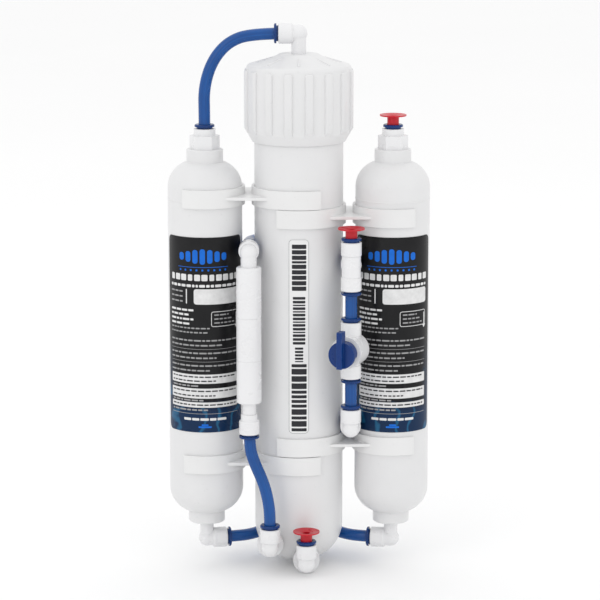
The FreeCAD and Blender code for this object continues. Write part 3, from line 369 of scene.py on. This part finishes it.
def piece_from(mesh, name, material, body):
    """Finish a bmesh as a smooth piece that rides on a body."""
    data = bpy.data.meshes.new(name)
    mesh.to_mesh(data)
    mesh.free()
    data.materials.append(material)
    for polygon in data.polygons:
        polygon.use_smooth = True
    data.set_sharp_from_angle(angle=SHARP_EDGE)
    made = bpy.data.objects.new(name, data)
    bpy.context.collection.objects.link(made)
    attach(made, body)
    print(name, len(data.polygons), "faces")
    return made


# %% [markdown]
# ## The screw cap
# The cap is a thick turned shell with sixteen finger ribs. On the real cap every edge is soft and
# the ribs end in rounded tops that catch the light. So the shell is spun from a profile with
# rounded corners, and one rib, a bevelled block, is repeated round it.

# %% Cap shell
CAP_SHELL = [
    (31.1, 108.9), (31.3, 108.7), (35.0, 115.2), (35.2, 115.9), (35.2, 157.2), (35.0, 158.2),
    (34.6, 159.0), (33.8, 159.7), (32.6, 160.2), (28.0, 161.3), (22.0, 163.0), (18.6, 164.2),
    (16.0, 165.3), (14.2, 166.2), (13.4, 166.8), (12.6, 167.0), (5.01, 167.0), (5.01, 154.1),
    (19.4, 152.1), (24.4, 150.1), (30.15, 150.1), (30.15, 108.9), (30.35, 108.7),
]
cap = bmesh.new()
spin_round(cap, CAP_SHELL, steps=128)


# %% Cap ribs and top webs
def soft_block(mesh, size, centre, turn, softness, foot=None):
    """A block with rounded edges, moved out from the axis and turned round it. A foot is the
    height under which its front slopes back to the wall."""
    block = bmesh.new()
    bmesh.ops.create_cube(block, size=1.0)
    bmesh.ops.scale(block, vec=[side * MM for side in size], verts=block.verts)
    bmesh.ops.bevel(block, geom=block.edges[:], offset=softness * MM, affect="EDGES", segments=4,
                    profile=0.5, material=-1)
    bmesh.ops.translate(block, vec=[value * MM for value in centre], verts=block.verts)
    if foot:
        bmesh.ops.bisect_plane(block, geom=block.verts[:] + block.edges[:] + block.faces[:], dist=1e-7,
                               plane_co=(0, (centre[1] - size[1] / 2) * MM, foot * MM),
                               plane_no=(0, -0.85, -0.53), clear_outer=True)
        bmesh.ops.holes_fill(block, edges=block.edges[:])
    bmesh.ops.rotate(block, cent=(0, 0, 0), matrix=Matrix.Rotation(turn, 3, "Z"), verts=block.verts)
    join_into(mesh, block)


def cone_web(mesh, turn):
    """A low web on the cap's cone, sloping out and down from the hub."""
    web = bmesh.new()
    soft_block(web, (1.5, 12.5, 1.6), (0, 0, 0), 0, 0.6)
    lean = Matrix.Rotation(math.radians(16), 3, "X")
    bmesh.ops.rotate(web, cent=(0, 0, 0), matrix=lean, verts=web.verts)
    bmesh.ops.translate(web, vec=(0, -22.8 * MM, 162.7 * MM), verts=web.verts)
    bmesh.ops.rotate(web, cent=(0, 0, 0), matrix=Matrix.Rotation(turn, 3, "Z"), verts=web.verts)
    join_into(mesh, web)


RIB_COUNT = 16
RIB_SIZE = (5.6, 3.3, 43.4)
RIB_CENTRE = (0, -35.15, 135.0)
RIB_SLOPE_TOP = 118.2
WEB_COUNT = 8
for index in range(RIB_COUNT):
    turn = math.tau * (index + 0.5) / RIB_COUNT
    soft_block(cap, RIB_SIZE, RIB_CENTRE, turn, 1.3, foot=RIB_SLOPE_TOP)
for index in range(WEB_COUNT):
    cone_web(cap, math.tau * index / WEB_COUNT)
print("cap has", RIB_COUNT, "ribs and", WEB_COUNT, "webs")

# %% [markdown]
# ## The screw thread
# The cap climbs 5 mm a turn on a coarse thread round the housing's neck. A thread ridge is a
# small closed profile, wound up the neck by a spin that also lifts. The cap's own ridge runs half
# a pitch away, so the two pass each other as the cap turns.

# %% Wind the threads
PITCH = 5.0
TURN_STEPS = 64
RIDGE_FOOT = 1.1
RIDGE_TOP = 0.45
NECK_THREAD_START = 119.0


def wind_ridge(mesh, root, crest, start, turns):
    """A screw ridge between two radii, capped at both ends."""
    ridge = bmesh.new()
    corners = [(root, start - RIDGE_FOOT), (crest, start - RIDGE_TOP),
               (crest, start + RIDGE_TOP), (root, start + RIDGE_FOOT)]
    outline = profile(ridge, corners)
    wound_up = bmesh.ops.spin(ridge, geom=outline, cent=(0, 0, 0), axis=(0, 0, 1),
                              dvec=(0, 0, PITCH * MM / TURN_STEPS), angle=math.tau * turns,
                              steps=int(TURN_STEPS * turns), use_merge=False)
    ends = [[item for item in group if isinstance(item, bmesh.types.BMVert)]
            for group in (outline, wound_up["geom_last"])]
    for end in ends:
        bmesh.ops.contextual_create(ridge, geom=end)
    bmesh.ops.recalc_face_normals(ridge, faces=ridge.faces)
    join_into(mesh, ridge)


neck = bmesh.new()
wind_ridge(neck, 27.3, 29.3, NECK_THREAD_START, 4.5)
piece_from(neck, "neck_thread", MATERIALS["white_housing"], "frame")
wind_ridge(cap, 30.35, 28.3, NECK_THREAD_START + PITCH / 2, 4.0)
screw_cap = piece_from(cap, "screw_cap", MATERIALS["white_housing"], "cap")
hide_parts("housing_cap")

# %% [markdown]
# ## Weld beads
# Each filter is a cup and a lid spun together until they melt. That leaves a low bead round the
# joint, which is a closed ring turned from a small profile.

# %% Beads on both filters
def weld_bead(name, across):
    """The bead round one filter's seam."""
    ring = bmesh.new()
    spin_round(ring, [(24.6, 69.3), (25.1, 69.5), (25.22, 70.0), (25.1, 70.5), (24.6, 70.7)])
    bmesh.ops.translate(ring, vec=(across * MM, 0, 0), verts=ring.verts)
    return piece_from(ring, name, MATERIALS["white_filter"], "frame")


FILTER_AXIS = 63.0
weld_bead("carbon_weld_bead", -FILTER_AXIS)
weld_bead("fine_weld_bead", FILTER_AXIS)

# %% [markdown]
# ## Printed labels
# A label is a film with round corners, bent round the front of a filter. Its print could be an
# image. Here it is ink: thin shapes that lie on the film, in white, pale grey, blue and black,
# and each ink is its own piece. Shapes are laid out flat, cut into strips, and only then bent, so
# they stay crisp and follow the curve. Every word is a plain bar.

# %% Lay out and bend flat shapes
def lay(flat, across, up, width, height, corner=0.0):
    """Add one flat patch, in millimetres, with rounded corners."""
    place = Matrix.Translation((across * MM, up * MM, 0)) @ Matrix.Diagonal(
        (width * MM, height * MM, 1, 1))
    patch = bmesh.ops.create_grid(flat, x_segments=1, y_segments=1, size=0.5, matrix=place)
    if corner:
        bmesh.ops.bevel(flat, geom=patch["verts"], offset=corner * MM, affect="VERTICES",
                        segments=5, profile=0.5, material=-1)


def lay_outline(flat, across, up, width, height, corner, line):
    """Add a thin rounded frame: a patch whose middle is inset and taken out."""
    before = set(flat.faces)
    lay(flat, across, up, width, height, corner)
    patch = [face for face in flat.faces if face not in before]
    bmesh.ops.inset_individual(flat, faces=patch, thickness=line * MM)
    bmesh.ops.delete(flat, geom=patch, context="FACES")


STRIP = 2.0


def bend_round(flat, centre, radius, thickness):
    """Cut the flat shapes into upright strips, thicken them and bend them round a cylinder."""
    half = max(abs(vert.co.x) for vert in flat.verts) / MM
    for step in range(-int(half / STRIP), int(half / STRIP) + 1):
        geometry = flat.verts[:] + flat.edges[:] + flat.faces[:]
        bmesh.ops.bisect_plane(flat, geom=geometry, dist=1e-7, plane_co=(step * STRIP * MM, 0, 0),
                               plane_no=(1, 0, 0))
    uv = flat.loops.layers.uv.new("UVMap")
    low = min(vert.co.y for vert in flat.verts)
    high = max(vert.co.y for vert in flat.verts)
    for face in flat.faces:
        for loop in face.loops:
            loop[uv].uv = (loop.vert.co.x / (2 * half * MM) + 0.5, (loop.vert.co.y - low) / (high - low))
    grown = bmesh.ops.extrude_face_region(flat, geom=flat.faces[:])
    raised = [item for item in grown["geom"] if isinstance(item, bmesh.types.BMVert)]
    bmesh.ops.translate(flat, vec=(0, 0, thickness * MM), verts=raised)
    for vert in flat.verts:
        along, up, out = vert.co
        turn = along / (radius * MM)
        reach = radius * MM + out
        vert.co = (centre * MM + reach * math.sin(turn), -reach * math.cos(turn), up)
    bmesh.ops.recalc_face_normals(flat, faces=flat.faces)


# %% [markdown]
# The film is nearly black and faintly cloudy, with deep blue water at its foot and up its sides,
# lit by pale ripples. The ripples are distorted waves. Ramps on the film's UV map fade them out.

# %% Film and ink materials
def label_film(name):
    """The black film of a filter's label."""
    material, tree, shader, place = new_material(name)
    flat = tree.nodes.new("ShaderNodeTexCoord").outputs["UV"]
    split = tree.nodes.new("ShaderNodeSeparateXYZ")
    tree.links.new(flat, split.inputs["Vector"])
    up, across = split.outputs["Y"], split.outputs["X"]
    cloud = spread(tree, noise(tree, place, 30), 0, 1, start=0.35, end=0.65)
    black = blend_colours(tree, cloud, (0.006, 0.006, 0.007), (0.012, 0.012, 0.013))
    off_centre = add_node(tree, "ShaderNodeMath", operation="SUBTRACT")
    tree.links.new(across, off_centre.inputs[0])
    off_centre.inputs[1].default_value = 0.5
    size = add_node(tree, "ShaderNodeMath", operation="ABSOLUTE")
    tree.links.new(off_centre.outputs[0], size.inputs[0])
    sides = spread(tree, size.outputs[0], 0, 1, start=0.36, end=0.5)
    waves = add_node(tree, "ShaderNodeTexWave", Scale=26, Distortion=9, Detail=3)
    waves.inputs["Detail Scale"].default_value = 1.4
    tree.links.new(place, waves.inputs["Vector"])
    ripple = spread(tree, waves.outputs["Fac"], 0, 1, start=0.86, end=1.0)
    water = blend_colours(tree, ripple, (0.003, 0.022, 0.07), (0.012, 0.10, 0.21))
    foot = spread(tree, up, 1, 0, start=0.10, end=0.17)
    flank = spread(tree, up, 1, 0, start=0.18, end=0.46)
    beside = add_node(tree, "ShaderNodeMath", operation="MULTIPLY")
    tree.links.new(flank, beside.inputs[0])
    tree.links.new(sides, beside.inputs[1])
    wet = add_node(tree, "ShaderNodeMath", operation="MAXIMUM")
    tree.links.new(foot, wet.inputs[0])
    tree.links.new(beside.outputs[0], wet.inputs[1])
    tree.links.new(blend_colours(tree, wet.outputs[0], black, water), shader.inputs["Base Color"])
    tree.links.new(spread(tree, cloud, 0.26, 0.36), shader.inputs["Roughness"])
    shader.inputs["Specular IOR Level"].default_value = 0.2
    bump = add_node(tree, "ShaderNodeBump", Strength=0.06, Distance=0.0001)
    tree.links.new(noise(tree, place, 900), bump.inputs["Height"])
    tree.links.new(bump.outputs["Normal"], shader.inputs["Normal"])
    return material


def ink(name, colour):
    """Printed ink: slightly uneven in tone, with a dry surface."""
    material, tree, shader, place = new_material(name)
    uneven = spread(tree, noise(tree, place, 260), 0, 1, start=0.3, end=0.7)
    tree.links.new(blend_colours(tree, uneven, [value * 0.86 for value in colour], colour),
                   shader.inputs["Base Color"])
    tree.links.new(spread(tree, uneven, 0.45, 0.57), shader.inputs["Roughness"])
    shader.inputs["Specular IOR Level"].default_value = 0.2
    bump = add_node(tree, "ShaderNodeBump", Strength=0.08, Distance=0.00005)
    tree.links.new(noise(tree, place, 2500), bump.inputs["Height"])
    tree.links.new(bump.outputs["Normal"], shader.inputs["Normal"])
    return material


FILM = label_film("film_black")
WHITE_INK = ink("ink_white", (0.78, 0.78, 0.78))
BLUE_INK = ink("ink_blue", (0.008, 0.15, 0.66))
PALE_INK = ink("ink_pale", (0.36, 0.36, 0.365))
DARK_INK = ink("ink_dark", (0.03, 0.03, 0.035))
GREY_INK = ink("ink_grey", (0.42, 0.43, 0.44))


# %% [markdown]
# The layout repeats on both filters: a blue mark of rising bars, a bold heading, small print, a
# white box to write the date in, a flow box with its arrow, paragraphs, and three white bands.

# %% Label layout
def word_bars(flat, left, right, up, height, seed, longest=5.2):
    """A line of plain bars with word-like lengths and gaps."""
    lengths = random.Random(seed)
    at = left
    while at < right - 1.2:
        width = min(lengths.uniform(1.6, longest), right - at)
        lay(flat, at + width / 2, up, width, height, height * 0.3)
        at += width + 0.75


def white_print(flat):
    """The heading, the bold lines, the boxes and the bands."""
    for index in range(11):
        lay(flat, -24.6 + index * 4.95, 19.8, 4.1 if index % 3 else 3.2, 4.3, 0.7)
    word_bars(flat, -26.8, 26.3, 14.2, 1.8, 3, longest=4.4)
    lay(flat, -12.6, 6.9, 0.8, 10.0, 0.39)
    lay(flat, 9.6, 6.9, 33.6, 10.4, 1.7)
    for index in range(4):
        word_bars(flat, -26.8, -7.5 - 2.4 * (index % 2), -2.4 - index * 3.1, 1.35, 20 + index)
    lay_outline(flat, 15.2, -8.4, 21.4, 10.4, 1.6, 0.4)
    lay(flat, 24.6, -9.6, 0.8, 9.0)
    for index in range(4):
        lay(flat, 24.6, -13.6 - index * 0.55, 3.2 - index * 0.8, 0.6)
    for up, height in ((-49.3, 6.3), (-59.2, 6.9), (-67.1, 3.6)):
        lay(flat, -0.6, up, 52.4, height, 0.6)
    word_bars(flat, -15.0, 15.0, -77.0, 1.7, 81, longest=9.0)


def small_print(flat):
    """The lines of small print."""
    for index in range(3):
        word_bars(flat, -26.8, -15.6, 10.1 - index * 3.4, 1.0, 10 + index)
    for index in range(2):
        word_bars(flat, -26.8, 3.5, -14.6 - index * 2.9, 0.9, 30 + index, longest=3.4)
    for index in range(3):
        word_bars(flat, 6.6, 17.4 + index * 2.4, -5.6 - index * 2.7, 0.9, 40 + index)
    for block in range(3):
        top = -23.0 - block * 8.6
        word_bars(flat, -26.8, 25.6, top, 1.0, 50 + block)
        word_bars(flat, -26.8, 12.0 - block * 4, top - 3.3, 1.0, 60 + block)
        if block < 2:
            lay(flat, -0.6, top - 5.9, 52.4, 0.22)
    for index, up in enumerate((-54.1, -64.0, -70.6)):
        word_bars(flat, -25.6, -4.0 + index * 3, up, 1.0, 70 + index)
    lay(flat, -0.6, -73.2, 52.4, 0.3)


def blue_print(flat):
    """The mark of rising bars with its underline, and the small emblem at the foot."""
    for index, height in enumerate((5.2, 7.2, 9.2, 10.4, 9.2, 7.2, 5.2)):
        lay(flat, -16.2 + index * 5.0, 34.0, 3.6, height, 1.6)
    lay(flat, -1.2, 26.9, 36.0, 0.35)
    for index in range(9):
        lay(flat, -17.2 + index * 4.0, 24.9, 1.3, 1.3, 0.4)
    lay(flat, 0, -82.3, 9.0, 1.2, 0.5)
    lay(flat, 0, -80.9, 4.6, 1.2, 0.5)


def dark_print(flat):
    """The dark lines on the white bands."""
    for index, up in enumerate((-47.9, -50.7, -57.6, -60.8, -67.1)):
        word_bars(flat, -25.4, 23.6 - 16 * (index % 2), up, 0.9, 90 + index, longest=4.6)


# %% [markdown]
# Each film is a quarter of a millimetre thick and stands just off the shell, and each ink is a
# few hundredths thick. The dark print lies on the white bands, one layer further out.

# %% Make both labels
LABEL_LOW = -86.0
LABEL_HIGH = 47.0
FILTER_RADIUS = 25.0
FILM_GAP = 0.03
FILM_DEPTH = 0.25
INK_DEPTH = 0.03
INK_BED = FILTER_RADIUS + FILM_GAP + FILM_DEPTH


def film(name, across, radius, width, corner, node, material):
    """A round-cornered film in place of the CAD label."""
    flat = bmesh.new()
    lay(flat, 0, (LABEL_LOW + LABEL_HIGH) / 2, width, LABEL_HIGH - LABEL_LOW, corner)
    bend_round(flat, across, radius + FILM_GAP, FILM_DEPTH)
    made = piece_from(flat, name, material, "frame")
    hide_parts(node)
    return made


def printed(name, draw, across, bed, material):
    """One layer of ink on a film."""
    flat = bmesh.new()
    draw(flat)
    bend_round(flat, across, bed, INK_DEPTH)
    return piece_from(flat, name, material, "frame")


for side, across in (("carbon", -FILTER_AXIS), ("fine", FILTER_AXIS)):
    film(f"{side}_label_film", across, FILTER_RADIUS, 61.6, 4.0, f"{side}_label", FILM)
    printed(f"{side}_label_white", white_print, across, INK_BED, WHITE_INK)
    printed(f"{side}_label_pale", small_print, across, INK_BED, PALE_INK)
    printed(f"{side}_label_blue", blue_print, across, INK_BED, BLUE_INK)
    printed(f"{side}_label_dark", dark_print, across, INK_BED + INK_DEPTH, DARK_INK)

# %% [markdown]
# The housing carries a clear film with a thin grey frame, and a column of bold dark bars where
# the real one has its name, set to read upwards.

# %% Housing label
BARREL_RADIUS = 29.8
# This film's edge colour is darker than its body, so its edges get painted shade.
clear_film = moulded("film_clear", (0.80, 0.80, 0.80), (0.7, 0.7, 0.7), roughness=0.2, edge=0.0001)
film("housing_label_film", 0, BARREL_RADIUS, 14.1, 3.0, "housing_label", clear_film)


def housing_frame(flat):
    """The thin rounded line round the housing's film."""
    lay_outline(flat, 0, -19.5, 13.5, 132.2, 2.7, 0.35)


def housing_bars(flat):
    """Bold and light bars in four groups, with an uneven rhythm like that of a printed name."""
    for start, end, width, depth, seed in ((-84.0, -40.0, 10.2, 3.9, 5), (-36.5, -27.5, 5.6, 1.5, 6),
                                           (-24.5, 8.0, 8.4, 1.8, 7), (12.0, 42.0, 9.6, 2.9, 8)):
        rhythm = random.Random(seed)
        at = start
        while at < end:
            height = depth * rhythm.choice((1.0, 1.0, 0.55))
            lay(flat, 0.2, at + height / 2, width, height, 0.45)
            at += height + max(0.8, depth * 0.27)


HOUSING_BED = BARREL_RADIUS + FILM_GAP + FILM_DEPTH
printed("housing_label_frame", housing_frame, 0, HOUSING_BED, GREY_INK)
printed("housing_label_bars", housing_bars, 0, HOUSING_BED, DARK_INK)

# %% [markdown]
# ## Floor and light
# The unit stands on a plain pale floor under soft studio light: a bright sky of even white, a
# large softbox to each side, and one overhead.

# %% Floor
low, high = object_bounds()
floor_mesh = bmesh.new()
bmesh.ops.create_grid(floor_mesh, x_segments=1, y_segments=1, size=6)
bmesh.ops.translate(floor_mesh, vec=(0, 0, low.z - 0.0005), verts=floor_mesh.verts)
floor_data = bpy.data.meshes.new("floor")
floor_mesh.to_mesh(floor_data)
floor_mesh.free()
floor = bpy.data.objects.new("floor", floor_data)
bpy.context.collection.objects.link(floor)
floor_finish, floor_tree, floor_shader, floor_place = new_material("floor_pale")
floor_tree.links.new(
    blend_colours(floor_tree, noise(floor_tree, floor_place, 2), (0.95, 0.95, 0.95), (0.97, 0.97, 0.97)),
    floor_shader.inputs["Base Color"])
floor_shader.inputs["Roughness"].default_value = 0.9
floor_shader.inputs["Specular IOR Level"].default_value = 0.1
floor_data.materials.append(floor_finish)


# %% Lights
def softbox(name, place, aim, width, height, power):
    """An area light that looks from its place at a point."""
    light = bpy.data.lights.new(name, "AREA")
    light.shape = "RECTANGLE"
    light.size = width
    light.size_y = height
    light.energy = power
    made = bpy.data.objects.new(name, light)
    made.location = place
    made.rotation_euler = (Vector(aim) - Vector(place)).to_track_quat("-Z", "Y").to_euler()
    bpy.context.collection.objects.link(made)


world = bpy.data.worlds.new("studio")
world.use_nodes = True
world.node_tree.nodes["Background"].inputs["Color"].default_value = (1, 1, 1, 1)
world.node_tree.nodes["Background"].inputs["Strength"].default_value = 1.0
bpy.context.scene.world = world
softbox("key_left", (-1.1, -1.3, 0.9), (0, 0, 0), 0.9, 1.2, 2.2)
softbox("fill_right", (1.4, -1.2, 0.6), (0, 0, 0), 0.8, 1.2, 0.8)
softbox("overhead", (0, 0.2, 1.8), (0, 0, 0), 2.2, 2.2, 3.5)
bpy.context.scene.view_settings.view_transform = "Standard"
